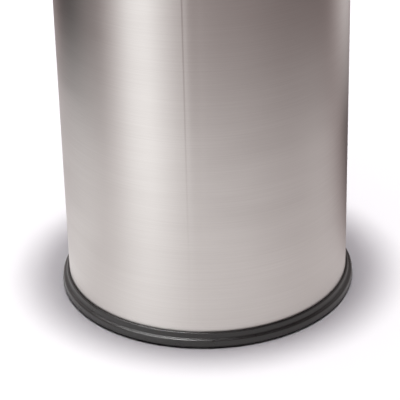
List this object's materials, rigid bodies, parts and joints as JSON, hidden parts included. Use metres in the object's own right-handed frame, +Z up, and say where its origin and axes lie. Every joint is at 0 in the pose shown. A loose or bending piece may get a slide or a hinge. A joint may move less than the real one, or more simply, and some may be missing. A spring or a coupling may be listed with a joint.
{
  "type": "umbrella stand",
  "caption": "Tall open cylinder of brushed steel in a low black base ring, with a rolled rim and a drip tray that lifts out.",
  "frame": {"origin": "centre of the stand on the floor, under the feet", "axes": "+Z up along the tube's axis; -Y is the front, which the picture shows, with the welded seam just to its left; the drip tray's wire grips are at +X and -X"},
  "size_m": [0.2366, 0.2366, 0.55],
  "materials": {
    "brushed_shell": "brushed round the tube, satin",
    "plain_steel": "mill finish",
    "grip_wire": "polished stainless wire",
    "zinc": "zinc plated",
    "ring_plastic": "moulded, semi-gloss",
    "tray_plastic": "moulded, fine matt texture",
    "foot_rubber": "matt"
  },
  "bodies": {
    "stand": {"body_shell": "brushed_shell", "rim_wire": "plain_steel", "base_disc": "plain_steel", "base_ring": "ring_plastic", "ring_screw_1": "zinc", "ring_screw_2": "zinc", "ring_screw_3": "zinc", "ring_screw_4": "zinc", "ring_nut_1": "zinc", "ring_nut_2": "zinc", "ring_nut_3": "zinc", "ring_nut_4": "zinc", "foot_pad_1": "foot_rubber", "foot_pad_2": "foot_rubber", "foot_pad_3": "foot_rubber", "foot_pad_4": "foot_rubber"},
    "tray": {"drip_tray": "tray_plastic", "tray_grip_1": "grip_wire", "tray_grip_2": "grip_wire"}
  },
  "joints": [
    {"name": "tray_lift", "type": "slide", "parent": "stand", "child": "tray", "axis": [0, 0, 1], "range_m": [0, 0.56]}
  ]
}
